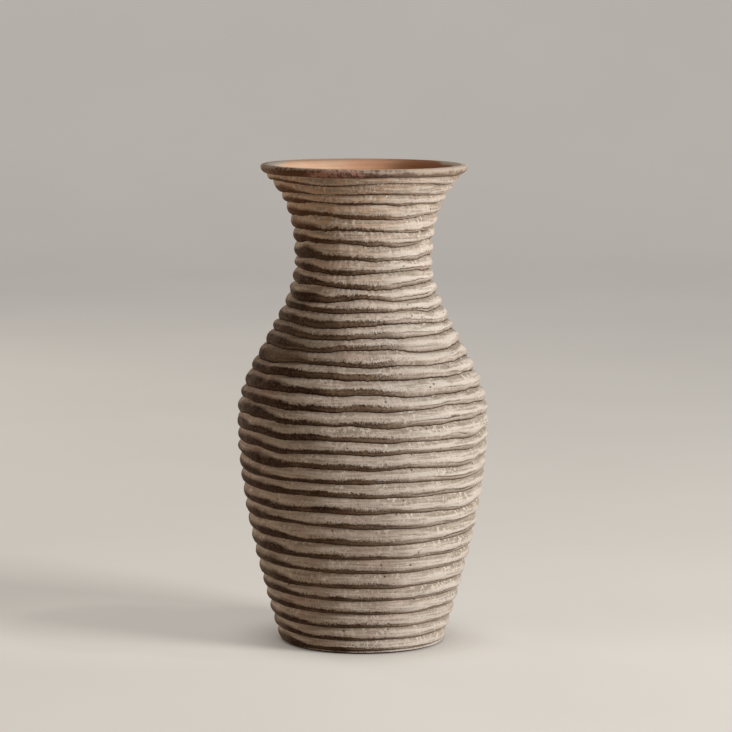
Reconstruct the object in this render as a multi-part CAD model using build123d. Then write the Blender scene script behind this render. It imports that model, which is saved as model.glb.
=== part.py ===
"""Ribbed coil-built vase: a floor slab, a wall of stacked clay coils and a rolled lip.

Millimetres, +Z up. The origin is the centre of the foot ring that the vase stands on.
Every piece is a full ring or disc about Z and sits on the flat top seat of the piece below it.
"""
import math
import os

from build123d import *

# Wall outline, taken in the grooves between the ribs; a lean is outward run per unit of height
SLAB_RADIUS = 69.4
SLAB_LEAN = 0.29
BELLY_HEIGHT = 189.0
BELLY_RADIUS = 102.2
NECK_HEIGHT = 319.5
NECK_RADIUS = 54.6
MOUTH_HEIGHT = 393.5
MOUTH_RADIUS = 79.4
MOUTH_LEAN = 0.95

# Clay coils; the thinning is the share of its height that a coil has lost by the mouth
COIL_COUNT = 34
COIL_THINNING = 0.2
WALL = 8.0

# Hand-rolled coils differ in height in two rhythms: share of the height, turn from coil to coil, first turn
SLOW_RHYTHM = (0.06, 0.6, 3.75)
QUICK_RHYTHM = (0.09, 2.45, 4.25)

# Sagging ribs; heel and shoulder are the shares of a rib's height between which it stands full
RIB_PROUD = 3.0
RIB_HEEL = 0.12
RIB_SHOULDER = 0.72
CUBIC_PEAK = 0.75  # height that a cubic curve reaches, as a share of its two raised control points

# Rolled lip
LIP_HEIGHT = 6.5
LIP_RADIUS = 86.0

# Floor slab, whose edge carries the lowest rib above a narrow band, and the foot ring under it
SLAB_TOP = 12.0
SLAB_RIB_PROUD = 1.9
EDGE_RADIUS = 68.5
EDGE_BAND = 1.6
FOOT_HEIGHT = 1.6
FOOT_INSET = 3.0
FOOT_RING_WIDTH = 16.0


def wall_span(lower, upper):
    """One smooth stretch of the outline between two stations of height, radius and lean."""
    low_height, low_radius, low_lean = lower
    high_height, high_radius, high_lean = upper
    reach = (high_height - low_height) / 3
    return Bezier(
        (low_radius, 0, low_height),
        (low_radius + low_lean * reach, 0, low_height + reach),
        (high_radius - high_lean * reach, 0, high_height - reach),
        (high_radius, 0, high_height),
    )


def wall_outline():
    """The groove line from the slab's top edge over belly and neck to the seat of the lip."""
    stations = [
        (SLAB_TOP, SLAB_RADIUS, SLAB_LEAN),
        (BELLY_HEIGHT, BELLY_RADIUS, 0),
        (NECK_HEIGHT, NECK_RADIUS, 0),
        (MOUTH_HEIGHT, MOUTH_RADIUS, MOUTH_LEAN),
    ]
    return Wire([wall_span(lower, upper) for lower, upper in zip(stations, stations[1:])])


OUTLINE = wall_outline()


def coil_share(index):
    """Height of a coil against the lowest one's: thinner towards the mouth, uneven from coil to coil."""
    share = 1 - COIL_THINNING * (index / COIL_COUNT) ** 2
    for size, turn, first_turn in (SLOW_RHYTHM, QUICK_RHYTHM):
        share += size * math.sin(first_turn + turn * index)
    return share


def coil_ends():
    """Distances along the outline at which the coils meet."""
    shares = [coil_share(index) for index in range(COIL_COUNT)]
    return [OUTLINE.length * sum(shares[:index]) / sum(shares) for index in range(COIL_COUNT + 1)]


def wall_at(distance):
    """Outer point, level inner point and outward direction of the wall at a distance along it."""
    outer = OUTLINE.position_at(distance, PositionMode.LENGTH)
    along = OUTLINE.tangent_at(distance, PositionMode.LENGTH)
    inner = outer - Vector(WALL / along.Z, 0, 0)
    outward = Vector(along.Z, 0, -along.X)
    return outer, inner, outward


def ring(edges):
    """A full turn about Z of a closed profile drawn in the XZ plane."""
    return revolve(make_face(edges), Axis.Z)


def smooth_curve(start, middle, end):
    """A shallow curve from start to end that passes through the middle point."""
    return Bezier(start, middle * 2 - (start + end) / 2, end)


def rib(low, high, outward, proud):
    """A sagging round rib between two seams: fuller above the lower one than below the upper."""
    reach = outward * (proud / CUBIC_PEAK)
    rise = high - low
    return Bezier(low, low + rise * RIB_HEEL + reach, low + rise * RIB_SHOULDER + reach, high)


def base_slab():
    """Floor disc with a rib round its edge, standing on a foot ring set in from that edge."""
    seat, _, outward = wall_at(0)
    band_top = Vector(EDGE_RADIUS, 0, FOOT_HEIGHT + EDGE_BAND)
    ring_outer = EDGE_RADIUS - FOOT_INSET
    ring_inner = ring_outer - FOOT_RING_WIDTH
    underside = Polyline(
        band_top,
        (EDGE_RADIUS, 0, FOOT_HEIGHT),
        (ring_outer, 0, FOOT_HEIGHT),
        (ring_outer, 0, 0),
        (ring_inner, 0, 0),
        (ring_inner, 0, FOOT_HEIGHT),
        (0, 0, FOOT_HEIGHT),
    )
    upper_side = Polyline((0, 0, FOOT_HEIGHT), (0, 0, SLAB_TOP), seat)
    return ring([rib(band_top, seat, outward, SLAB_RIB_PROUD), underside, upper_side])


def coil(start, end):
    """One wall coil: a rib outside, a smooth wall inside, flat seats below and above."""
    low_outer, low_inner, _ = wall_at(start)
    _, middle_inner, outward = wall_at((start + end) / 2)
    high_outer, high_inner, _ = wall_at(end)
    outside = rib(low_outer, high_outer, outward, RIB_PROUD)
    inside = smooth_curve(high_inner, middle_inner, low_inner)
    return ring([outside, Line(high_outer, high_inner), inside, Line(low_inner, low_outer)])


def rim_lip():
    """Rolled lip: a half-round bead outside and the flare of the inner wall run up to its crest."""
    _, inner, outward = wall_at(OUTLINE.length)
    bead_centre = Vector(LIP_RADIUS - LIP_HEIGHT / 2, 0, MOUTH_HEIGHT + LIP_HEIGHT / 2)
    half_height = Vector(0, 0, LIP_HEIGHT / 2)
    under = bead_centre - half_height
    crest = bead_centre + half_height
    bead = ThreePointArc(under, (LIP_RADIUS, 0, bead_centre.Z), crest)
    climb = crest.Z - inner.Z
    flare = Bezier(crest, (inner.X - outward.Z / outward.X * climb, 0, crest.Z), inner)
    return ring([bead, flare, Line(inner, under)])


def build():
    """Every piece by node name, from the floor up."""
    ends = coil_ends()
    pieces = {"base_slab": base_slab()}
    for number, (start, end) in enumerate(zip(ends, ends[1:]), start=1):
        pieces[f"coil_{number:02d}"] = coil(start, end)
    pieces["rim_lip"] = rim_lip()
    return pieces


os.makedirs("parts", exist_ok=True)
for name, piece in build().items():
    export_step(piece, f"parts/{name}.step")
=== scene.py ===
"""Looks of the ribbed coil-built vase: wavy hand-laid coils, a stained lip and a wiped clay inside.

Metres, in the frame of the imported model. Seam heights and radii are read from the frame's rings.
"""
import math
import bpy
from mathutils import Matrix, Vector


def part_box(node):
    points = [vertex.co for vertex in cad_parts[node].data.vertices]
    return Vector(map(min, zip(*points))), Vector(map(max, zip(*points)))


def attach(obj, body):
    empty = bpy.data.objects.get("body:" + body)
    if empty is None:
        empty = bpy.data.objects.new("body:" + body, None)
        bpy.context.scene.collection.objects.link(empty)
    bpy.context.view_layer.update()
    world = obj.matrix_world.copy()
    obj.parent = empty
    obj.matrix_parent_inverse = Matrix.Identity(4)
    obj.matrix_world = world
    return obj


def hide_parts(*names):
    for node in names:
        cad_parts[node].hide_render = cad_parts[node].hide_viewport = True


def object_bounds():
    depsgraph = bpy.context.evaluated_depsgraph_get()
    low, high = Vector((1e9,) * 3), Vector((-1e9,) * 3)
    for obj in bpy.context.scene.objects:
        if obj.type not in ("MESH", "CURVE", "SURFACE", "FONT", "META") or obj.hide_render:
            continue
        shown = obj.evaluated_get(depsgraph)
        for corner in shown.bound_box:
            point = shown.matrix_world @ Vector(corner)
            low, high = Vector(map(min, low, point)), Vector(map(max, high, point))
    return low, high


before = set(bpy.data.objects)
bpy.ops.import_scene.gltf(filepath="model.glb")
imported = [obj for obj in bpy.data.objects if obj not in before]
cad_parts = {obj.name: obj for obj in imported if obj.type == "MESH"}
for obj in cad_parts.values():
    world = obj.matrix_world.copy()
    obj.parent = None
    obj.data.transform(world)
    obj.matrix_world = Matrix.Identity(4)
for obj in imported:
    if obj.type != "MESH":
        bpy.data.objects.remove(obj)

from types import SimpleNamespace

import bpy
import numpy as np
from mathutils import Matrix, Vector

CAD_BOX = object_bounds()
SEED = 7
LEVEL_TOLERANCE = 1e-6   # within which a point lies on a level seat
BOX_CLEARANCE = 0.00002  # by which the ribs stay inside the solids' box
SLOPE_STEP = 0.02        # part of a coil over which the wall's direction is taken

# Points of the meshes: round a ring, and along each stretch of a profile
AROUND = 840
RIB_STEPS = 26
LIP_FLARE_STEPS = 8
SLIP_FLOOR_STEPS = 5
SLIP_CORNER_STEPS = 6
SLIP_WALL_STEPS = 34
SLIP_FLARE_STEPS = 13
SLIP_TAPER_STEPS = 8     # of the flare's last points, over which the slip thins out to nothing
SWEEP_STEPS = 16

# Texture layout: a ring is cut into strips, and the shares are parts of a strip's height
STRIPS = 6
STRIP_START = 0.015
OUTSIDE_SHARE = 0.84
USED_SHARE = 0.97

# Sizes of the solids; heel and shoulder are shares of a rib's height
RIB_PROUD = 0.003
RIB_HEEL = 0.12
RIB_SHOULDER = 0.72
SLAB_RIB_PROUD = 0.0019
EDGE_RADIUS = 0.0685
EDGE_BAND = 0.0016
FOOT_HEIGHT = 0.0016
FOOT_INSET = 0.003
FOOT_RING_WIDTH = 0.016
LIP_HEIGHT = 0.0065
LIP_RADIUS = 0.086

# Wavy seams, in shares of a coil's height: bands of (fewest, most, size) waves round the widest ring
SEAM_WAVES = ((2, 7, 0.06), (8, 16, 0.019), (17, 40, 0.008), (60, 160, 0.007))
FEWEST_WAVES = 2
SEAM_FOLLOWS = 0.35      # share of its waves that a seam takes over from the one below
SEAM_UNREST = ((0.0, 0.6), (0.12, 0.7), (0.22, 1.1), (0.31, 1.6))  # strength of the waves at heights
LIP_SEAM_KEEPS = 0.4     # share of its waves that the lip's seam keeps
LIP_DROP = 0.12          # by which the lip reaches down over the top coil

# Uneven ribs; waves and fullness are shares of how far a rib stands out
RIB_WAVES = ((2, 9, 0.07), (10, 40, 0.025))
RIB_FULLNESS = 1.03
SLAB_RIB_FULLNESS = 0.97
SLAB_RIB_SAG = 0.25      # share of its depth by which the slab's rib hangs
RIB_ROUNDING = 1.3       # over one, the grooves are softened at their edges
RIB_AT_MOUTH = 0.6       # share of its depth that a rib keeps at the mouth
GROOVE_DEPTH = 0.0003    # by which the worn grooves lie under the solids' seams
MOUTH_SWELL = ((0.02, 0.001), (0.0, 0.0022))  # by which the wall is fuller, at distances under the lip

# Lumps on the ribs: slanting waves, each with a count round the ring
LUMP_DEPTH = 0.00012
LUMP_WAVES = 40
LUMP_COUNTS = (4, 45)
LUMP_SLANT = 7

# Lip; bulge and sag move its outline's control points and are shares of half its height
LIP_SWAY = 0.0015        # depth of its waves
LIP_BULGE = 0.65
LIP_SAG = 0.1

# Wiped slip inside
SLIP = 0.0004            # its thickness
SLIP_CORNER = 0.006      # radius of its turn from floor to wall
CENTRE_GAP = 0.0002      # radius left open at the axis, so that no points of a ring coincide

# Marks on the profile points, beside the share of a rib that a point has climbed
HIDDEN = -1.0
BAND_PLACE = 0.6         # place on a rib whose wash the slab's edge band takes

# Camera, from the photograph's rim and base ellipses
CAMERA_DISTANCE = 2.63
CAMERA_HEIGHT = 0.544
CAMERA_PITCH = 6.785
CAMERA_YAW = -0.054
CAMERA_ROLL = 0.22
FOCAL_PIXELS = 3168.0
IMAGE_PIXELS = 732.0
SENSOR = 36.0

# Lamps: degrees to the camera's right, degrees up, distance, width and height, watts, colour
LAMPS = {
    "key": (62, 18, 2.5, (0.8, 1.0), 52.0, (1.0, 0.985, 0.95)),
    "fill": (-72, 9, 2.5, (1.0, 0.7), 12.0, (1.0, 0.83, 0.65)),
    "rim": (-138, 14, 2.6, (0.6, 1.4), 9.0, (1.0, 0.92, 0.82)),
}
LAMP_AIM = 0.2           # height on the axis that they are turned to
SPOT_PLACE = (80, 62, 1.2)
SPOT_ANGLE = 11
SPOT_RADIUS = 0.08
SPOT_POWER = 16.0
SPOT_COLOUR = (1.0, 0.96, 0.9)
WORLD_COLOUR = (1.0, 0.86, 0.72, 1.0)
WORLD_STRENGTH = 0.012

# Stage
STAGE_HALF = 7.0
STAGE_BACK = 3.4
STAGE_TOP = 4.5
SWEEP = 1.6
FLOOR_SHADE_REACH = 0.08
FLOOR_SHADE_SAMPLES = 16
FLOOR_ROUGHNESS = 0.9
FLOOR_SHINE = 0.1

rng = np.random.default_rng(SEED)
angles = np.linspace(0.0, 2.0 * math.pi, AROUND, endpoint=False)
coil_names = sorted(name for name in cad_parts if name.startswith("coil_"))
widest = min(CAD_BOX[1][0], CAD_BOX[1][1], -CAD_BOX[0][0], -CAD_BOX[0][1]) - BOX_CLEARANCE


# Curves

def quadratic(t, first, second, last):
    """A quadratic curve of one coordinate, from its control values."""
    return first * (1 - t)**2 + 2 * second * t * (1 - t) + last * t**2


def cubic(t, first, second, third, last):
    """A cubic curve of one coordinate, from its control values."""
    return first * (1 - t)**3 + 3 * second * t * (1 - t)**2 + 3 * third * t**2 * (1 - t) + last * t**3


def arch(t):
    """A low arch, 0 at both ends and 1 in the middle."""
    return 4 * t * (1 - t)


RIB_PLACES = np.linspace(0, 1, RIB_STEPS)
RIB_CLIMB = cubic(RIB_PLACES, 0.0, RIB_HEEL, RIB_SHOULDER, 1.0)


# Frame readings

def node_points(name):
    """Vertices of a solid as an array."""
    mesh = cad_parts[name].data
    points = np.empty(len(mesh.vertices) * 3)
    mesh.vertices.foreach_get("co", points)
    return points.reshape(-1, 3)


def seat_radii(name, height):
    """Inner and outer radius of a ring where it meets a level seat."""
    points = node_points(name)
    level = points[np.abs(points[:, 2] - height) < LEVEL_TOLERANCE]
    radii = np.hypot(level[:, 0], level[:, 1])
    return radii.min(), radii.max()


def read_seams():
    """Height, outer radius and inner radius of every seam, from the slab's top to the lip's seat."""
    slab_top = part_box("base_slab")[1].z
    inner, _ = seat_radii(coil_names[0], slab_top)
    _, outer = seat_radii("base_slab", slab_top)
    seams = [(slab_top, outer, inner)]
    for name in coil_names:
        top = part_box(name)[1].z
        inner, outer = seat_radii(name, top)
        seams.append((top, outer, inner))
    return np.array(seams)


SEAMS = read_seams()
NECK_HEIGHT = SEAMS[SEAMS[:, 1].argmin(), 0]
MOUTH_HEIGHT = SEAMS[-1, 0]
LIP_TOP = MOUTH_HEIGHT + LIP_HEIGHT
swell_heights = [NECK_HEIGHT] + [MOUTH_HEIGHT - under for under, _ in MOUTH_SWELL]
swells = [0.0] + [swell for _, swell in MOUTH_SWELL]
SEAMS[:, 1] += np.interp(SEAMS[:, 0], swell_heights, swells)
SEAM_SLOPES = np.gradient(SEAMS, axis=0)


def wall_at(position):
    """Height, outer and inner radius of the wall at a place counted in coils above the slab."""
    lower = np.clip(np.floor(position).astype(int), 0, len(SEAMS) - 2)
    t = (position - lower)[..., None]
    start, end = SEAMS[lower], SEAMS[lower + 1]
    start_slope, end_slope = SEAM_SLOPES[lower], SEAM_SLOPES[lower + 1]
    return (start * (1 - 3 * t**2 + 2 * t**3) + start_slope * (t - 2 * t**2 + t**3)
            + end * (3 * t**2 - 2 * t**3) + end_slope * (t**3 - t**2))


def off_wall(along, rise):
    """Radius and height of points that stand off the wall by rise."""
    wall = wall_at(along)
    ahead = wall_at(along + SLOPE_STEP) - wall_at(along - SLOPE_STEP)
    length = np.hypot(ahead[..., 0], ahead[..., 1])
    radius = wall[..., 1] + rise * ahead[..., 0] / length
    height = wall[..., 0] - rise * ahead[..., 1] / length
    return radius, height


def lip_flare(t):
    """Radius and height of the lip's inside, from its seat to its crest."""
    seat = SEAMS[-1, 2]
    slope = SEAM_SLOPES[-1, 2] / SEAM_SLOPES[-1, 0]
    radius = quadratic(t, seat, seat + slope * LIP_HEIGHT, LIP_RADIUS - LIP_HEIGHT / 2)
    height = quadratic(t, MOUTH_HEIGHT, LIP_TOP, LIP_TOP)
    return radius, height


# Hand-laid unevenness

def ring_waves(bands):
    """A closed wavy line round the vase: random waves in bands of (fewest, most, size)."""
    line = np.zeros(AROUND)
    for fewest, most, size in bands:
        counts = np.arange(fewest, most + 1)
        phases = rng.uniform(0, 2 * math.pi, len(counts))
        heights = rng.normal(0, 1, len(counts)) / math.sqrt(len(counts)) * size * math.sqrt(2)
        line += (heights[:, None] * np.cos(counts[:, None] * angles + phases[:, None])).sum(0)
    return line


def lay_seams():
    """Wavy seam lines from the slab up; each coil follows the one that it was laid on a little."""
    heights, unrest = zip(*SEAM_UNREST)
    lines = []
    for height, radius, _ in SEAMS:
        strength = np.interp(height, heights, unrest)
        shorter = radius / SEAMS[:, 1].max()
        bands = [(max(FEWEST_WAVES, round(fewest * shorter)), round(most * shorter), size)
                 for fewest, most, size in SEAM_WAVES]
        below = SEAM_FOLLOWS * lines[-1] if lines else 0.0
        lines.append(below + strength * ring_waves(bands))
    lines[-1] = LIP_SEAM_KEEPS * lines[-1] - LIP_DROP
    return lines


seam_lines = lay_seams()


def lumps():
    """Small uneven lumps: a grid of heights of about one either way, steps round by points across a rib."""
    grid = np.zeros((AROUND, RIB_STEPS))
    for _ in range(LUMP_WAVES):
        count = rng.integers(*LUMP_COUNTS)
        slant = rng.uniform(-LUMP_SLANT, LUMP_SLANT)
        phase = rng.uniform(0, 2 * math.pi)
        grid += np.cos(count * angles[:, None] + slant * RIB_PLACES + phase)
    return grid / math.sqrt(LUMP_WAVES)


# Ring meshes

def add_object(name, data):
    """A new object in the scene."""
    thing = bpy.data.objects.new(name, data)
    bpy.context.scene.collection.objects.link(thing)
    return thing


def ring_object(name, radius, height, across, sharp, outside):
    """A closed ring from its profile at every step round.

    radius and height are grids of steps round by profile points. across holds each profile point's place
    on the rib, sharp lists the points whose edges stay crisp, and outside counts the points on the face
    that shows, which come first.
    """
    steps, rows = radius.shape
    points = np.stack([radius * np.cos(angles)[:, None], radius * np.sin(angles)[:, None], height], -1)
    index = np.arange(steps * rows).reshape(steps, rows)
    ahead = np.roll(index, -1, axis=0)
    faces = np.stack([index, ahead, np.roll(ahead, -1, axis=1), np.roll(index, -1, axis=1)], -1)
    mesh = bpy.data.meshes.new(name)
    mesh.vertices.add(index.size)
    mesh.vertices.foreach_set("co", points.ravel())
    mesh.loops.add(faces.size)
    mesh.loops.foreach_set("vertex_index", faces.ravel())
    mesh.polygons.add(index.size)
    mesh.polygons.foreach_set("loop_start", np.arange(0, faces.size, faces.shape[-1]))
    mesh.polygons.foreach_set("use_smooth", np.ones(index.size, dtype=bool))
    mesh.update(calc_edges=True)
    edges = np.empty(len(mesh.edges) * 2, dtype=int)
    mesh.edges.foreach_get("vertices", edges)
    profile = edges.reshape(-1, 2) % rows
    crisp = (profile[:, 0] == profile[:, 1]) & np.isin(profile[:, 0], sharp)
    mesh.edges.foreach_set("use_edge_sharp", crisp)
    mesh.attributes.new("across", "FLOAT", "POINT").data.foreach_set("value", np.tile(across, steps))
    lay_out_texture(mesh, steps, rows, outside)
    return add_object(name, mesh)


def lay_out_texture(mesh, steps, rows, outside):
    """Texture layout: the ring is cut into strips that are stacked up the sheet."""
    per_strip = steps // STRIPS
    step = np.arange(steps)
    strip = step // per_strip
    left = (step - strip * per_strip) / per_strip
    right = left + 1.0 / per_strip
    hidden = rows - outside + 1
    marks = np.concatenate([np.linspace(0, OUTSIDE_SHARE, outside),
                            np.linspace(OUTSIDE_SHARE, USED_SHARE, hidden + 1)[1:]])
    low, high = marks[:-1], marks[1:]
    u = np.stack([left, right, right, left], -1)[:, None, :].repeat(rows, axis=1)
    v = np.stack([low, low, high, high], -1)[None].repeat(steps, axis=0)
    v = (v + STRIP_START + strip[:, None, None]) / STRIPS
    mesh.uv_layers.new(name="OFBake").data.foreach_set("uv", np.stack([u, v], -1).ravel())


def make_slab():
    """Floor slab: foot ring, edge band and the lowest rib under the first seam."""
    seat = wall_at(seam_lines[0])
    band_top = FOOT_HEIGHT + EDGE_BAND
    fullness = SLAB_RIB_FULLNESS - np.abs(ring_waves(RIB_WAVES))
    rise = SLAB_RIB_PROUD * arch(RIB_PLACES) * fullness[:, None]
    radius = EDGE_RADIUS + (seat[:, 1:2] - EDGE_RADIUS) * RIB_CLIMB + rise
    height = band_top + (seat[:, 0:1] - band_top) * RIB_CLIMB - SLAB_RIB_SAG * rise
    ring_outer = EDGE_RADIUS - FOOT_INSET
    ring_inner = ring_outer - FOOT_RING_WIDTH
    underside = [(CENTRE_GAP, FOOT_HEIGHT), (ring_inner, FOOT_HEIGHT), (ring_inner, 0.0),
                 (ring_outer, 0.0), (ring_outer, FOOT_HEIGHT), (EDGE_RADIUS, FOOT_HEIGHT)]
    under_radius, under_height = (np.tile(values, (AROUND, 1)) for values in zip(*underside))
    floor_radius = np.full((AROUND, 1), CENTRE_GAP)
    radius = np.concatenate([radius, floor_radius, under_radius], 1)
    height = np.concatenate([height, seat[:, 0:1], under_height], 1)
    across = np.concatenate([RIB_CLIMB, [HIDDEN] * len(underside), [BAND_PLACE]])
    sharp = [0] + list(range(RIB_STEPS - 1, len(across)))
    return ring_object("base_slab_clay", radius, height, across, sharp, RIB_STEPS)


def make_coil(number, name):
    """One wall coil: a wavy sagging rib outside, seats shared with its neighbours, a plain inside."""
    low = number + seam_lines[number]
    high = number + 1 + seam_lines[number + 1]
    proud = GROOVE_DEPTH + RIB_PROUD * (RIB_FULLNESS - np.abs(ring_waves(RIB_WAVES)))
    proud *= np.interp(SEAMS[number, 0], (NECK_HEIGHT, MOUTH_HEIGHT), (1.0, RIB_AT_MOUTH))
    along = low[:, None] + (high - low)[:, None] * RIB_CLIMB
    rise = proud[:, None] * arch(RIB_PLACES) ** RIB_ROUNDING - GROOVE_DEPTH
    rise += LUMP_DEPTH * lumps() * arch(RIB_CLIMB)
    radius, height = off_wall(along, rise)
    inner = wall_at(np.stack([high, low], -1))
    radius = np.concatenate([np.minimum(radius, widest), inner[..., 2]], 1)
    height = np.concatenate([height, inner[..., 0]], 1)
    across = np.concatenate([RIB_CLIMB, [HIDDEN, HIDDEN]])
    sharp = [0] + list(range(RIB_STEPS - 1, len(across)))
    return ring_object(name + "_clay", radius, height, across, sharp, RIB_STEPS)


def make_lip():
    """Rolled lip: it leaves the wall at its seam, leans out to a round edge and turns in to a flare."""
    seat = wall_at(len(SEAMS) - 1 + seam_lines[-1])
    bead = LIP_HEIGHT / 2
    reach = LIP_RADIUS - LIP_SWAY * np.abs(ring_waves(RIB_WAVES))[:, None]
    radius = cubic(RIB_PLACES, seat[:, 1:2], reach, reach + LIP_BULGE * bead, LIP_RADIUS - bead)
    radius = np.minimum(radius, LIP_RADIUS)
    height = cubic(RIB_PLACES, seat[:, 0:1], MOUTH_HEIGHT - LIP_SAG * bead, LIP_TOP, LIP_TOP)
    flare_radius, flare_height = lip_flare(np.linspace(1, 0, LIP_FLARE_STEPS + 1)[1:])
    radius = np.concatenate([radius, np.tile(flare_radius, (AROUND, 1)), seat[:, 1:2]], 1)
    height = np.concatenate([height, np.tile(flare_height, (AROUND, 1)), seat[:, 0:1]], 1)
    across = np.concatenate([RIB_PLACES, [HIDDEN] * (LIP_FLARE_STEPS + 1)])
    sharp = [0, len(across) - 2, len(across) - 1]
    return ring_object("rim_lip_clay", radius, height, across, sharp, RIB_STEPS)


def make_lining():
    """The slip wiped over floor and wall inside: a thin cup up to the crest of the lip."""
    floor = SEAMS[0, 0] + SLIP
    edge = SEAMS[0, 2] - SLIP_CORNER
    floor_radii = np.linspace(CENTRE_GAP, edge, SLIP_FLOOR_STEPS)
    turn = np.linspace(0, math.pi / 2, SLIP_CORNER_STEPS + 2)[1:-1]
    wall = wall_at(np.linspace(0, len(SEAMS) - 1, SLIP_WALL_STEPS))
    wall = wall[wall[:, 0] >= floor + SLIP_CORNER]
    face = np.concatenate([
        np.stack([floor_radii, np.full(SLIP_FLOOR_STEPS, floor)], -1),
        np.stack([edge + SLIP_CORNER * np.sin(turn), floor + SLIP_CORNER * (1 - np.cos(turn))], -1),
        wall[:, [2, 0]],
        np.stack(lip_flare(np.linspace(0, 1, SLIP_FLARE_STEPS + 1)[1:]), -1),
    ])
    run = np.gradient(face, axis=0)
    run /= np.linalg.norm(run, axis=1, keepdims=True)
    inward = np.stack([-run[:, 1], run[:, 0]], -1) * SLIP
    taper = np.ones((len(face), 1))
    taper[-SLIP_TAPER_STEPS:, 0] = np.linspace(1, 0, SLIP_TAPER_STEPS) ** 2
    loop = np.concatenate([face + inward * taper, (face - inward)[::-1]])
    radius, height = (np.tile(values, (AROUND, 1)) for values in loop.T)
    return ring_object("inner_slip", radius, height, np.zeros(len(loop)), [], len(face))


# Material nodes

MIX_AMOUNT, MIX_FIRST, MIX_SECOND, MIX_RESULT = 0, 6, 7, 2  # sockets of a mix node for colours
NOISE_MIDDLE = 0.5
CLAY_SHINE = 0.25


class Nodes:
    """Short calls for building one material's node tree."""

    def __init__(self, name):
        self.material = bpy.data.materials.new(name)
        self.material.use_nodes = True
        self.tree = self.material.node_tree
        self.shader = self.tree.nodes["Principled BSDF"]

    def put(self, socket, value):
        if isinstance(value, bpy.types.NodeSocket):
            self.tree.links.new(value, socket)
        else:
            socket.default_value = value

    def add(self, kind, inputs=(), **settings):
        node = self.tree.nodes.new(kind)
        for key, value in settings.items():
            setattr(node, key, value)
        for key, value in dict(inputs).items():
            self.put(node.inputs[key], value)
        return node

    def math(self, operation, first, second=0.0, third=0.0):
        return self.add("ShaderNodeMath", {0: first, 1: second, 2: third}, operation=operation).outputs[0]

    def times(self, first, second):
        return self.math("MULTIPLY", first, second)

    def plus(self, value, amount, strength):
        """A value with an amount added at some strength."""
        return self.math("MULTIPLY_ADD", amount, strength, value)

    def larger(self, first, second):
        return self.math("MAXIMUM", first, second)

    def ramp(self, value, low, high, to_low=0.0, to_high=1.0):
        """Smooth step of a value from one range to another."""
        inputs = {"Value": value, "From Min": low, "From Max": high, "To Min": to_low, "To Max": to_high}
        return self.add("ShaderNodeMapRange", inputs, interpolation_type="SMOOTHSTEP").outputs["Result"]

    def band(self, value, start, full, fade, end):
        """A band that comes in where a value goes from start to full, and goes out from fade to end."""
        return self.times(self.ramp(value, start, full), self.ramp(value, fade, end, 1.0, 0.0))

    def mix(self, amount, first, second):
        node = self.add("ShaderNodeMix", data_type="RGBA")
        self.put(node.inputs[MIX_AMOUNT], amount)
        self.put(node.inputs[MIX_FIRST], first)
        self.put(node.inputs[MIX_SECOND], second)
        return node.outputs[MIX_RESULT]

    def place(self, stretch=(1.0, 1.0, 1.0)):
        """Object coordinates, stretched along an axis by a factor under one."""
        where = self.add("ShaderNodeTexCoord").outputs["Object"]
        return self.add("ShaderNodeMapping", {"Vector": where, "Scale": stretch}).outputs["Vector"]

    def noise(self, scale, detail, stretch=(1.0, 1.0, 1.0), roughness=0.55):
        inputs = {"Vector": self.place(stretch), "Scale": scale, "Detail": detail, "Roughness": roughness}
        return self.add("ShaderNodeTexNoise", inputs).outputs["Fac"]

    def noises(self, table):
        """Noise fields by name, from a table of their settings."""
        return SimpleNamespace(**{name: self.noise(*settings) for name, settings in table.items()})

    def part(self, axis):
        """One of the three object coordinates, in metres."""
        where = self.add("ShaderNodeTexCoord").outputs["Object"]
        return self.add("ShaderNodeSeparateXYZ", {"Vector": where}).outputs[axis]

    def reach(self):
        """Distance from the vase's axis."""
        across, along = self.part(0), self.part(1)
        return self.math("SQRT", self.plus(self.times(along, along), across, across))

    def side(self):
        """How far round a place is: -1 at the photograph's left, 0 in front and behind, 1 at its right."""
        return self.math("DIVIDE", self.part(0), self.reach())

    def offset(self, value, *fields):
        """A value shifted by noise fields, each given with its strength and taken about its middle."""
        for field, strength in fields:
            value = self.plus(value, self.math("SUBTRACT", field, NOISE_MIDDLE), strength)
        return value

    def across(self):
        """Share of its rib that a point has climbed, or a mark for a hidden face."""
        return self.add("ShaderNodeAttribute", attribute_name="across").outputs["Fac"]

    def bump(self, height, distance, strength):
        inputs = {"Height": height, "Distance": distance, "Strength": strength}
        return self.add("ShaderNodeBump", inputs).outputs["Normal"]

    def finish(self, colour, roughness, normal):
        self.put(self.shader.inputs["Base Color"], colour)
        self.put(self.shader.inputs["Roughness"], roughness)
        self.put(self.shader.inputs["Normal"], normal)
        self.shader.inputs["Specular IOR Level"].default_value = CLAY_SHINE
        return self.material


def srgb(red, green, blue):
    """A colour given in 0 to 255 screen values, as the linear values that nodes take."""
    def linear(value):
        value /= 255.0
        return value / 12.92 if value <= 0.04045 else ((value + 0.055) / 1.055) ** 2.4
    return linear(red), linear(green), linear(blue), 1.0


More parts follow.
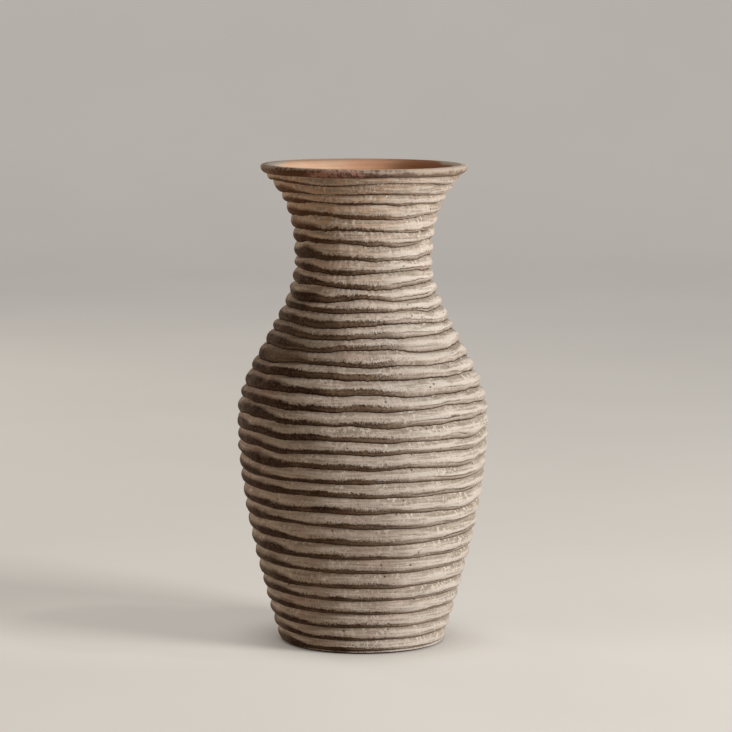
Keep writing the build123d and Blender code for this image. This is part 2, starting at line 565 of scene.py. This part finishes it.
# Colours
WASH = srgb(230, 211, 197)
# pale wash for flakes, streaks and specks, also a painted highlight on the crests at the right
WASH_LIGHT_AND_HIGHLIGHT = srgb(246, 235, 223)
WASH_PINK = srgb(220, 184, 172)
# cool tint of the lit side: painted light
WASH_COOL_LIT = srgb(228, 216, 205)
WASH_RUSTY = srgb(234, 194, 160)
# warmer, lighter wash that also stands in for warm bounce light from below: painted light
WASH_WARM_BOUNCE = srgb(248, 217, 191)
WASH_GREY = srgb(187, 171, 155)
# dust on the rib tops, which also paints the shade under the rib above
DUST_AND_SHADE = srgb(172, 156, 138)
# pale stain, also painted light at the right and a painted rim light at the far left
STAIN_PALE_LIT = srgb(177, 159, 141)
STAIN = srgb(150, 124, 99)
# deep stain, also painted shade at the left and low on the ribs, and the dark of sand grains
STAIN_DEEP_AND_SHADE = srgb(64, 40, 22)
# dark stain for seams, lines, specks and pits, also painted shade in the grooves and under the lip's bead
STAIN_DARK_AND_SHADE = srgb(60, 40, 28)
STAIN_RUST = srgb(116, 72, 38)
BARE = srgb(150, 130, 108)
LIP_BROWN = srgb(116, 80, 60)
LIP_RUST = srgb(206, 160, 146)
LIP_MAUVE = srgb(130, 100, 92)
LIP_BEIGE = srgb(162, 141, 124)
LIP_DARK = srgb(92, 62, 48)
RIM_PALE = srgb(222, 205, 188)
CLAY = srgb(240, 184, 150)
CLAY_PALE = srgb(245, 207, 176)
# darker clay for wipes and grain, also painted shade on the inside's right
CLAY_DARK_AND_SHADE = srgb(172, 118, 84)
FLOOR_DULL = srgb(214, 209, 202)
FLOOR_CLEAR = srgb(222, 217, 210)
FLOOR_BOUNCE = srgb(152, 132, 112)

# Noise fields of each material: scale, detail, stretch, roughness
WASH_NOISES = {
    "sand": (720.0, 2.0, (1.0, 1.0, 1.0), 0.6),
    "grain": (560.0, 2.0),
    "brush": (520.0, 3.0, (0.07, 0.07, 1.0)),
    "teeth": (480.0, 2.0, (1.0, 1.0, 0.22)),
    "flake": (330.0, 4.0, (1.0, 1.0, 0.8), 0.7),
    "clump": (260.0, 3.0, (0.7, 0.7, 1.0)),
    "sway": (90.0, 2.0, (0.2, 0.2, 1.0)),
    "drift": (45.0, 4.0),
    "wear": (30.0, 2.0, (0.6, 0.6, 1.0)),
    "cloud": (24.0, 3.0, (1.0, 1.0, 1.6)),
    "patch": (17.0, 3.0),
}
LIP_NOISES = {
    "grain": (560.0, 2.0),
    "fleck": (420.0, 3.0, (1.0, 1.0, 0.6)),
    "smear": (300.0, 3.0, (0.12, 0.12, 1.0)),
    "drag": (260.0, 4.0, (1.0, 1.0, 0.35)),
    "drift": (34.0, 4.0),
}
CLAY_NOISES = {
    "grain": (1500.0, 3.0),
    "wipe": (60.0, 4.0, (0.12, 0.12, 6.0)),
    "patch": (26.0, 4.0),
}
FLOOR_NOISE = (3.0, 3.0)
PIT_SCALE = 330.0

# Heights between which the wash reaches further down the ribs, turns warmer, partly as painted bounce
# light, and turns rusty
FULLER_HEIGHTS = (0.20, 0.26)
WARMER_HEIGHTS = (0.25, 0.35)
RUSTY_HEIGHTS = (0.32, 0.375)

# Rubbed spots in front: x, height, half width, half height, strength
RUBBED = (
    (-0.064, 0.2462, 0.021, 0.0075, 0.75),
    (-0.036, 0.2560, 0.028, 0.0280, 0.50),
    (0.008, 0.0900, 0.030, 0.0500, 0.28),
)
FRONT_FADE = 0.01        # half width of the change from front to back

# Depth of each material's fine relief
WASH_RELIEF = 0.0009
LIP_RELIEF = 0.0005
CLAY_RELIEF = 0.0004

# Pale ring round the inside of the mouth
MOUTH_RING_RADIUS = 0.0795
MOUTH_RING_WIDER = 0.0085  # by which it reaches further in at the photograph's left and right
MOUTH_RING_FADE = 0.004
MOUTH_RING_GRAIN = 0.004
MOUTH_RING_WANDER = 0.008


# Whitewashed coils

def wash_fields(nodes):
    """What steers wash and stain: noise, the place on the vase and the ragged edge of the wash on a rib."""
    at = nodes.noises(WASH_NOISES)
    at.across, at.side, at.height = nodes.across(), nodes.side(), nodes.part(2)
    # left marks the shaded side and right the lit side; the colours below use them to paint shade at the
    # left and light at the right
    at.left = nodes.ramp(at.side, -0.86, -0.5, 1.0, 0.0)
    at.right = nodes.ramp(at.side, 0.0, 0.6)
    at.flare = nodes.times(nodes.ramp(at.height, *RUSTY_HEIGHTS), nodes.ramp(at.side, 0.1, 0.9, 1.0, 0.3))
    rough = nodes.plus(nodes.ramp(at.right, 0.2, 1.0, 1.0, 0.25), at.left, -0.65)
    at.rough = nodes.times(rough, nodes.ramp(at.wear, 0.36, 0.62, 0.35, 1.3))
    bend = nodes.offset(at.across, (at.sway, 0.65), (at.drift, 0.25))
    at.bend = nodes.plus(bend, nodes.ramp(at.height, *FULLER_HEIGHTS), 0.05)
    ragged = nodes.offset(0.0, (at.teeth, 0.22), (at.grain, 0.28), (at.brush, 0.2))
    at.edge = nodes.plus(at.bend, ragged, at.rough)
    return at


def wash_cover(nodes, at):
    """How much wash lies on the stain: little low on a rib, more above; further down at the right as
    painted light and less far down at the left as painted shade.
    """
    bare_to = nodes.plus(nodes.plus(0.29, at.right, -0.40), at.left, 0.22)
    full_from = nodes.plus(nodes.plus(0.45, at.right, -0.12), at.left, 0.46)
    thin = nodes.offset(0.0, (at.grain, 0.7), (at.clump, 0.45), (at.brush, 0.5), (at.sand, 0.4))
    cover = nodes.plus(nodes.ramp(at.edge, bare_to, full_from), thin, at.rough)
    return nodes.add("ShaderNodeClamp", {"Value": cover}).outputs[0]


def wash_colour(nodes, at):
    """Chalky wash: pink and grey clouds, warm and rusty towards the lip with painted bounce light in the
    warmth, a cool tint and a painted highlight at the lit right, light edges, and rib tops darkened by dust
    and painted shade.
    """
    wash = nodes.mix(nodes.ramp(at.patch, 0.47, 0.64, 0.0, 0.9), WASH, WASH_PINK)
    wash = nodes.mix(nodes.ramp(at.cloud, 0.52, 0.70, 0.0, 0.5), wash, WASH_GREY)
    # warmer and lighter on the flare, most at the left: partly a warmer wash, partly painted bounce light
    # from below
    warm = nodes.times(nodes.ramp(at.height, *WARMER_HEIGHTS), nodes.ramp(at.side, 0.1, 0.6, 0.75, 0.15))
    wash = nodes.mix(warm, wash, WASH_WARM_BOUNCE)
    # painted light: a cooler, whiter tint towards the lit right
    wash = nodes.mix(nodes.times(at.right, 0.6), wash, WASH_COOL_LIT)
    rusty = nodes.times(at.flare, nodes.ramp(at.drift, 0.35, 0.6, 0.5, 1.0))
    wash = nodes.mix(rusty, wash, WASH_RUSTY)
    # painted highlight on the crests at the lit right, partly the wash lying thicker there
    crest = nodes.times(nodes.band(at.edge, 0.42, 0.56, 0.6, 0.9), nodes.times(at.right, 0.65))
    wash = nodes.mix(crest, wash, WASH_LIGHT_AND_HIGHLIGHT)
    streak = nodes.ramp(nodes.offset(at.brush, (at.clump, 0.3)), 0.48, 0.62, 0.0, 0.9)
    wash = nodes.mix(streak, wash, WASH_GREY)
    wash = nodes.mix(nodes.ramp(at.brush, 0.34, 0.46, 0.7, 0.0), wash, WASH_LIGHT_AND_HIGHLIGHT)
    # rib tops under the rib above darkened, more at the right: dust and painted shade
    dust_and_shade = nodes.offset(at.across, (at.drift, 0.4), (at.grain, 0.3), (at.brush, 0.5))
    dust_and_shade = nodes.times(nodes.ramp(dust_and_shade, 0.58, 1.0), nodes.ramp(at.side, -0.5, 0.1, 0.3, 0.7))
    wash = nodes.mix(dust_and_shade, wash, DUST_AND_SHADE)
    # painted shade at the very top of the ribs towards the far right
    crown = nodes.ramp(nodes.offset(at.across, (at.drift, 0.25), (at.brush, 0.4)), 0.66, 0.96)
    wash = nodes.mix(nodes.times(crown, nodes.ramp(at.side, 0.5, 0.8, 0.0, 0.5)), wash, DUST_AND_SHADE)
    worn = nodes.times(nodes.band(at.edge, 0.36, 0.44, 0.46, 0.66), 0.6)
    flaked = nodes.times(nodes.ramp(at.flake, 0.52, 0.58), nodes.ramp(at.drift, 0.42, 0.62, 0.2, 1.0))
    return nodes.mix(nodes.larger(worn, flaked), wash, WASH_LIGHT_AND_HIGHLIGHT)


def stain_colour(nodes, at):
    """Brown stain: deep at the left and low on a rib, partly as painted shade; pale at the right, partly as
    painted light, with a painted rim light at the far left edge; rusty under the lip.
    """
    turned = nodes.offset(at.side, (at.drift, 1.2), (at.patch, 1.2), (at.brush, 0.6))
    # paler towards the lit right and deeper towards the shaded left: partly stain, partly painted light and
    # shade
    stain = nodes.mix(nodes.ramp(turned, -0.25, 0.45), STAIN, STAIN_PALE_LIT)
    stain = nodes.mix(nodes.ramp(turned, -0.7, -0.08, 1.0, 0.0), stain, STAIN_DEEP_AND_SHADE)
    # deep stain low on each rib, in the groove, less at the lit right: stain and painted shade
    low = nodes.ramp(nodes.offset(at.across, (at.brush, 0.2)), 0.02, 0.24, 0.55, 0.0)
    stain = nodes.mix(nodes.times(low, nodes.ramp(at.right, 0.2, 1.0, 1.0, 0.75)), stain, STAIN_DEEP_AND_SHADE)
    # painted rim light: the far left edge turns pale
    painted_rim_light = nodes.offset(at.side, (at.drift, 0.3), (at.patch, 0.3))
    stain = nodes.mix(nodes.ramp(painted_rim_light, -1.0, -0.86, 0.35, 0.0), stain, STAIN_PALE_LIT)
    return nodes.mix(nodes.times(at.flare, 0.7), stain, STAIN_RUST)


def dark_marks(nodes, at):
    """Dark seams, partly stain in the joints and partly painted groove shade; broken lines under the edge
    of the wash, thin strokes at the right, and specks.
    """
    # seam lines at both ends of a rib: stain in the joints and painted groove shade, a little lighter at
    # the lit right
    seam = nodes.ramp(nodes.offset(at.across, (at.teeth, 0.06), (at.brush, 0.08)), 0.03, 0.08, 1.0, 0.0)
    brow = nodes.ramp(nodes.offset(at.across, (at.grain, 0.05)), 0.975, 1.0)
    seam = nodes.times(nodes.larger(seam, brow), nodes.ramp(at.right, 0.2, 1.0, 1.0, 0.9))
    line = nodes.band(at.edge, 0.20, 0.28, 0.28, 0.38)
    line = nodes.times(line, nodes.ramp(nodes.offset(at.cloud, (at.clump, 0.8)), 0.38, 0.54, 0.1, 0.85))
    line = nodes.times(line, nodes.plus(nodes.ramp(at.right, 0.0, 1.0, 1.0, 0.2), at.left, -0.65))
    stroke = nodes.band(at.bend, 0.25, 0.31, 0.31, 0.38)
    stroke = nodes.times(stroke, nodes.ramp(at.wear, 0.42, 0.60, 0.95, 0.3))
    stroke = nodes.times(stroke, nodes.times(at.right, nodes.ramp(at.side, 0.8, 0.97, 1.0, 0.3)))
    speck = nodes.band(at.edge, 0.2, 0.3, 0.36, 0.7)
    speck = nodes.times(speck, nodes.ramp(nodes.offset(at.sand, (at.grain, 0.7)), 0.55, 0.62, 0.0, 0.85))
    speck = nodes.times(speck, nodes.ramp(nodes.offset(at.right, (at.wear, -1.6)), 0.1, 0.8, 1.0, 0.0))
    return nodes.larger(seam, nodes.larger(nodes.larger(line, stroke), speck))


def rub_spots(nodes, at, colour):
    """A colour rubbed down to bare clay in a few ragged spots in front."""
    front = nodes.ramp(nodes.part(1), -FRONT_FADE, FRONT_FADE, 1.0, 0.0)
    for place, height, half_width, half_height, strength in RUBBED:
        beside = nodes.times(nodes.math("SUBTRACT", nodes.part(0), place), 1 / half_width)
        above = nodes.times(nodes.math("SUBTRACT", at.height, height), 1 / half_height)
        spot = nodes.plus(nodes.times(above, above), beside, beside)
        spot = nodes.offset(spot, (at.drift, 1.2), (at.brush, 1.5), (at.grain, 0.8))
        spot = nodes.ramp(spot, 0.2, 1.2, strength, 0.0)
        colour = nodes.mix(nodes.times(spot, front), colour, BARE)
    return colour


def scatter_pits(nodes):
    """Small round pits, one in each of the few cells that chance picks."""
    inputs = {"Vector": nodes.place(), "Scale": PIT_SCALE, "Randomness": 1.0}
    cells = nodes.add("ShaderNodeTexVoronoi", inputs).outputs
    chance = nodes.add("ShaderNodeSeparateColor", {"Color": cells["Color"]}).outputs["Red"]
    size = nodes.ramp(chance, 0.95, 1.0, 0.0, 0.34)
    pit = nodes.ramp(nodes.math("SUBTRACT", cells["Distance"], size), -0.06, 0.02, 1.0, 0.0)
    return nodes.times(pit, nodes.ramp(chance, 0.94, 0.96))


def washed_clay():
    """Chalky whitewash dry-brushed over the crests, brown stain left on the undersides and in the seams,
    with painted shade at the left and in the grooves and painted light at the right.
    """
    nodes = Nodes("whitewashed_terracotta")
    at = wash_fields(nodes)
    cover = wash_cover(nodes, at)
    colour = nodes.mix(cover, stain_colour(nodes, at), wash_colour(nodes, at))
    colour = nodes.mix(nodes.ramp(at.sand, 0.58, 0.70, 0.0, 0.3), colour, STAIN_DEEP_AND_SHADE)
    colour = nodes.mix(nodes.ramp(at.sand, 0.30, 0.42, 0.25, 0.0), colour, WASH_LIGHT_AND_HIGHLIGHT)
    colour = rub_spots(nodes, at, colour)
    colour = nodes.mix(nodes.times(dark_marks(nodes, at), 0.9), colour, STAIN_DARK_AND_SHADE)
    pit = scatter_pits(nodes)
    colour = nodes.mix(nodes.times(pit, 0.65), colour, STAIN_DARK_AND_SHADE)
    body = nodes.plus(nodes.times(at.grain, 0.2), cover, 0.5)
    for field, strength in ((at.clump, 0.5), (at.brush, -1.2), (at.sand, -0.15), (pit, -1.2)):
        body = nodes.plus(body, field, strength)
    normal = nodes.bump(body, WASH_RELIEF, 1.0)
    return nodes.finish(colour, nodes.ramp(at.clump, 0.3, 0.7, 0.95, 0.8), normal)


# Lip and inside

def stained_clay():
    """The lip: purple-brown stain with a little wash dragged over it, rubbed to clay at its crest."""
    nodes = Nodes("stained_terracotta")
    at = nodes.noises(LIP_NOISES)
    across, side = nodes.across(), nodes.side()
    turned = nodes.offset(side, (at.drift, 0.7), (at.smear, 0.5), (at.drag, 0.3))
    stain = nodes.mix(nodes.ramp(turned, -0.60, -0.42), LIP_BROWN, LIP_RUST)
    stain = nodes.mix(nodes.ramp(turned, -0.14, 0.04), stain, LIP_MAUVE)
    stain = nodes.mix(nodes.ramp(turned, 0.12, 0.50), stain, LIP_BEIGE)
    stain = nodes.mix(nodes.ramp(side, -0.98, -0.86, 1.0, 0.0), stain, LIP_BEIGE)
    mottle = nodes.ramp(nodes.offset(at.fleck, (at.smear, 0.6), (at.drag, 0.5)), 0.46, 0.64, 0.0, 0.75)
    mottle = nodes.times(mottle, nodes.ramp(side, 0.15, 0.5, 1.0, 0.35))
    stain = nodes.mix(mottle, stain, LIP_DARK)
    shade = nodes.ramp(nodes.offset(across, (at.drag, 0.3), (at.grain, 0.2)), 0.02, 0.16, 0.85, 0.0)
    stain = nodes.mix(shade, stain, STAIN_DARK_AND_SHADE)
    caught = nodes.offset(across, (at.drag, 0.7), (at.smear, 1.6), (at.fleck, -0.8), (at.drift, 0.8))
    caught = nodes.plus(caught, nodes.ramp(side, -0.3, 0.8), 0.3)
    stain = nodes.mix(nodes.ramp(caught, 0.55, 0.95, 0.0, 0.7), stain, RIM_PALE)
    ends = nodes.ramp(nodes.math("ABSOLUTE", side), 0.5, 0.85)
    rubbed = nodes.ramp(nodes.offset(across, (at.drag, 0.35), (at.grain, 0.25)), 0.80, 0.94)
    stain = nodes.mix(rubbed, stain, nodes.mix(ends, CLAY_PALE, RIM_PALE))
    inside = nodes.ramp(across, -0.02, 0.0, 1.0, 0.0)
    colour = nodes.mix(inside, stain, CLAY)
    body = nodes.plus(nodes.times(at.drag, 0.6), at.grain, 0.5)
    normal = nodes.bump(body, LIP_RELIEF, 0.7)
    return nodes.finish(colour, nodes.ramp(at.drift, 0.3, 0.7, 0.9, 0.72), normal)


def bare_clay():
    """The inside: orange clay wiped smooth, darker at the right as painted shade, with a pale ring round
    the mouth.
    """
    nodes = Nodes("bare_terracotta")
    at = nodes.noises(CLAY_NOISES)
    side = nodes.side()
    colour = nodes.mix(nodes.ramp(at.patch, 0.35, 0.68), CLAY, CLAY_PALE)
    colour = nodes.mix(nodes.times(nodes.ramp(at.wipe, 0.45, 0.75), 0.4), colour, CLAY_DARK_AND_SHADE)
    colour = nodes.mix(nodes.times(nodes.ramp(at.grain, 0.58, 0.74), 0.3), colour, CLAY_DARK_AND_SHADE)
    # painted shade: the inside turns darker towards the right
    turned = nodes.ramp(nodes.offset(side, (at.patch, 0.6)), 0.0, 0.65, 0.0, 0.95)
    colour = nodes.mix(turned, colour, CLAY_DARK_AND_SHADE)
    ends = nodes.ramp(nodes.math("ABSOLUTE", side), 0.72, 0.95)
    reach = nodes.offset(nodes.reach(), (at.grain, MOUTH_RING_GRAIN), (at.patch, MOUTH_RING_WANDER))
    inner = nodes.plus(MOUTH_RING_RADIUS, ends, -MOUTH_RING_WIDER)
    ring = nodes.ramp(reach, inner, nodes.math("ADD", inner, MOUTH_RING_FADE))
    colour = nodes.mix(nodes.times(ring, nodes.ramp(ends, 0.0, 1.0, 0.45, 1.0)), colour, RIM_PALE)
    body = nodes.plus(nodes.times(at.grain, 0.3), at.wipe, 0.7)
    normal = nodes.bump(body, CLAY_RELIEF, 0.5)
    return nodes.finish(colour, nodes.ramp(at.patch, 0.3, 0.7, 0.92, 0.8), normal)


# Stage, light and camera

def pale_floor():
    """A pale tone for the camera, shaded near the vase by a painted contact shadow in its glow; a darker
    one for the light that bounces off it.
    """
    nodes = Nodes("pale_floor")
    path = nodes.add("ShaderNodeLightPath").outputs
    seen = nodes.larger(path["Is Camera Ray"], path["Is Glossy Ray"])
    seen = nodes.larger(seen, path["Is Transmission Ray"])
    tone = nodes.mix(nodes.noise(*FLOOR_NOISE), FLOOR_DULL, FLOOR_CLEAR)
    inputs = {"Distance": FLOOR_SHADE_REACH}
    # painted contact shadow: the glow is dimmed where the vase stands near
    near = nodes.add("ShaderNodeAmbientOcclusion", inputs, samples=FLOOR_SHADE_SAMPLES).outputs["AO"]
    glow = nodes.times(seen, nodes.ramp(near, 0.1, 0.9, 0.05, 0.55))
    nodes.put(nodes.shader.inputs["Base Color"], nodes.mix(seen, FLOOR_BOUNCE, tone))
    nodes.put(nodes.shader.inputs["Emission Color"], tone)
    nodes.put(nodes.shader.inputs["Emission Strength"], glow)
    nodes.put(nodes.shader.inputs["Roughness"], FLOOR_ROUGHNESS)
    nodes.put(nodes.shader.inputs["Specular IOR Level"], FLOOR_SHINE)
    return nodes.material


def make_stage():
    """Plain pale floor that sweeps up into a backdrop."""
    turn = np.linspace(0, math.pi / 2, SWEEP_STEPS)
    line = [(-STAGE_HALF, 0.0)]
    line += [(STAGE_BACK + SWEEP * math.sin(angle), SWEEP - SWEEP * math.cos(angle)) for angle in turn]
    line.append((STAGE_BACK + SWEEP, STAGE_TOP))
    points = [(x, y, z) for y, z in line for x in (-STAGE_HALF, STAGE_HALF)]
    faces = [(2 * i, 2 * i + 1, 2 * i + 3, 2 * i + 2) for i in range(len(line) - 1)]
    mesh = bpy.data.meshes.new("floor")
    mesh.from_pydata(points, [], faces)
    mesh.polygons.foreach_set("use_smooth", [True] * len(faces))
    mesh.materials.append(pale_floor())
    floor = add_object("floor", mesh)


def aim(lamp, azimuth, elevation, distance, height):
    """Puts a lamp at some distance from the vase's axis and turns it to a height on it."""
    holder = add_object(lamp.name, lamp)
    holder.visible_camera = False
    turn, lift = math.radians(azimuth), math.radians(elevation)
    away = Vector((math.sin(turn) * math.cos(lift), -math.cos(turn) * math.cos(lift), math.sin(lift)))
    holder.location = Vector((0, 0, height)) + away * distance
    holder.rotation_euler = away.to_track_quat("Z", "Y").to_euler()


def make_lights():
    """A soft key from the right, a weak warm fill and rim light from the left, a spot into the mouth."""
    for name, (azimuth, elevation, distance, size, power, colour) in LAMPS.items():
        lamp = bpy.data.lights.new(name, "AREA")
        lamp.shape = "RECTANGLE"
        lamp.size, lamp.size_y = size
        lamp.energy = power
        lamp.color = colour
        aim(lamp, azimuth, elevation, distance, LAMP_AIM)
    spot = bpy.data.lights.new("mouth", "SPOT")
    spot.spot_size = math.radians(SPOT_ANGLE)
    spot.spot_blend = 1.0
    spot.shadow_soft_size = SPOT_RADIUS
    spot.energy = SPOT_POWER
    spot.color = SPOT_COLOUR
    aim(spot, *SPOT_PLACE, MOUTH_HEIGHT)
    world = bpy.data.worlds.new("studio")
    bpy.context.scene.world = world
    world.use_nodes = True
    background = world.node_tree.nodes["Background"]
    background.inputs["Color"].default_value = WORLD_COLOUR
    background.inputs["Strength"].default_value = WORLD_STRENGTH


def make_camera():
    """Camera at the photograph's height, distance and tilt."""
    data = bpy.data.cameras.new("camera")
    data.sensor_width = SENSOR
    data.lens = FOCAL_PIXELS / IMAGE_PIXELS * SENSOR
    camera = add_object("camera", data)
    turn = (Matrix.Rotation(math.radians(CAMERA_YAW), 4, "Z")
            @ Matrix.Rotation(math.radians(90 - CAMERA_PITCH), 4, "X")
            @ Matrix.Rotation(math.radians(CAMERA_ROLL), 4, "Z"))
    camera.matrix_world = Matrix.Translation((0, -CAMERA_DISTANCE, CAMERA_HEIGHT)) @ turn
    bpy.context.scene.camera = camera


# Assembly

def dress(piece, material, slot, *nodes):
    """Gives a piece its material and ties it to the frame."""
    piece.data.materials.append(material)
    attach(piece, "root")
    if nodes:
        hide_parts(*nodes)


wash, stain, clay = washed_clay(), stained_clay(), bare_clay()
dress(make_slab(), wash, "bare_terracotta", "base_slab")
for number, name in enumerate(coil_names):
    dress(make_coil(number, name), wash, "whitewashed_terracotta", name)
dress(make_lip(), stain, "stained_terracotta", "rim_lip")
dress(make_lining(), clay, "bare_terracotta")

make_stage()
make_lights()
make_camera()
bpy.context.scene.view_settings.view_transform = "Standard"
